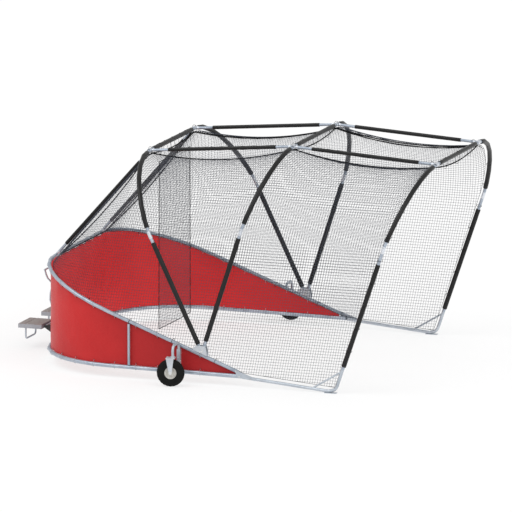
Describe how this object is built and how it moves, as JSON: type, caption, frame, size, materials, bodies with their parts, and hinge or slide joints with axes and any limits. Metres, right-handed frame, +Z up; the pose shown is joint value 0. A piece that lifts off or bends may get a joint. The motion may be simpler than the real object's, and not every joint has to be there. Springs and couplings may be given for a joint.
{
  "type": "portable batting cage",
  "caption": "Roll-away batting cage: padded tube arches over a wheeled base with a low curved skirt, hung netting, a drop net and fold-out seats.",
  "frame": {"origin": "on the ground under the middle of the bounding box", "axes": "+X out of the open mouth, +Y to the left side, +Z up; the XZ plane is the plane of symmetry"},
  "size_m": [6.5933, 5.3692, 3.3515],
  "materials": {
    "silver_tube": "satin",
    "steel_tube": "satin",
    "plate_metal": "satin",
    "hub_metal": "satin",
    "black_bracket": "matte",
    "pad_foam": "satin",
    "tyre_rubber": "matte",
    "net_cord": "matte",
    "skirt_vinyl": "matte",
    "seat_board": "matte"
  },
  "bodies": {
    "frame": {"back_brace_left": "silver_tube", "back_brace_left_pad": "pad_foam", "back_brace_right": "silver_tube", "back_brace_right_pad": "pad_foam", "back_net": "net_cord", "base_rail": "silver_tube", "drop_net": "net_cord", "front_bow": "silver_tube", "front_crossbar_pad": "pad_foam", "front_leg_left": "silver_tube", "front_leg_pad_left": "pad_foam", "front_leg_pad_right": "pad_foam", "front_leg_right": "silver_tube", "front_roof_bar_left": "silver_tube", "front_roof_bar_left_pad": "pad_foam", "front_roof_bar_right": "silver_tube", "front_roof_bar_right_pad": "pad_foam", "front_skid_left": "steel_tube", "front_skid_right": "steel_tube", "leg_bracket_left": "plate_metal", "leg_bracket_right": "plate_metal", "middle_bow": "silver_tube", "middle_crossbar_pad": "pad_foam", "middle_leg_left": "silver_tube", "middle_leg_pad_left": "pad_foam", "middle_leg_pad_right": "pad_foam", "middle_leg_right": "silver_tube", "rear_bow": "silver_tube", "rear_crossbar_pad": "pad_foam", "rear_leg_left": "silver_tube", "rear_leg_pad_left": "pad_foam", "rear_leg_pad_right": "pad_foam", "rear_leg_right": "silver_tube", "rear_roof_bar_left": "silver_tube", "rear_roof_bar_left_pad": "pad_foam", "rear_roof_bar_right": "silver_tube", "rear_roof_bar_right_pad": "pad_foam", "roof_net": "net_cord", "seat_bracket_left": "black_bracket", "seat_bracket_right": "black_bracket", "side_net_left": "net_cord", "side_net_right": "net_cord", "skirt": "skirt_vinyl", "skirt_post_left": "silver_tube", "skirt_post_right": "silver_tube", "skirt_top_rail": "silver_tube", "wheel_sleeve_left": "steel_tube", "wheel_sleeve_right": "steel_tube"},
    "arm_left": {"wheel_arm_left": "steel_tube"},
    "caster_left": {"caster_fork_left": "plate_metal"},
    "wheel_left": {"wheel_hub_left": "hub_metal", "tyre_left": "tyre_rubber"},
    "seat_left": {"seat_deck_left": "seat_board"},
    "foot_left": {"foot_loop_left": "steel_tube"},
    "arm_right": {"wheel_arm_right": "steel_tube"},
    "caster_right": {"caster_fork_right": "plate_metal"},
    "wheel_right": {"wheel_hub_right": "hub_metal", "tyre_right": "tyre_rubber"},
    "seat_right": {"seat_deck_right": "seat_board"},
    "foot_right": {"foot_loop_right": "steel_tube"}
  },
  "joints": [
    {"name": "wheel_lift_left", "type": "slide", "parent": "frame", "child": "arm_left", "axis": [0, 0, 1], "range_m": [0, 0.12]},
    {"name": "caster_swivel_left", "type": "hinge", "parent": "arm_left", "child": "caster_left", "pos_m": [-0.195, 2.6, 0.2032], "axis": [0, 0, 1], "continuous": true},
    {"name": "wheel_spin_left", "type": "hinge", "parent": "caster_left", "child": "wheel_left", "pos_m": [-0.22434, 2.60624, 0.2032], "axis": [0.2079, 0.9781, 0], "continuous": true},
    {"name": "seat_fold_left", "type": "hinge", "parent": "frame", "child": "seat_left", "pos_m": [-2.905, 0.48, 0.335], "axis": [0, 1, 0], "range_deg": [0, 88]},
    {"name": "foot_fold_left", "type": "hinge", "parent": "seat_left", "child": "foot_left", "pos_m": [-3.19, 0.48, 0.335], "axis": [0, -1, 0], "range_deg": [0, 90]},
    {"name": "wheel_lift_right", "type": "slide", "parent": "frame", "child": "arm_right", "axis": [0, 0, 1], "range_m": [0, 0.12]},
    {"name": "caster_swivel_right", "type": "hinge", "parent": "arm_right", "child": "caster_right", "pos_m": [-0.195, -2.6, 0.2032], "axis": [0, 0, 1], "continuous": true},
    {"name": "wheel_spin_right", "type": "hinge", "parent": "caster_right", "child": "wheel_right", "pos_m": [-0.22434, -2.60624, 0.2032], "axis": [-0.2079, 0.9781, 0], "continuous": true},
    {"name": "seat_fold_right", "type": "hinge", "parent": "frame", "child": "seat_right", "pos_m": [-2.905, -0.48, 0.335], "axis": [0, 1, 0], "range_deg": [0, 88]},
    {"name": "foot_fold_right", "type": "hinge", "parent": "seat_right", "child": "foot_right", "pos_m": [-3.19, -0.48, 0.335], "axis": [0, -1, 0], "range_deg": [0, 90]}
  ]
}
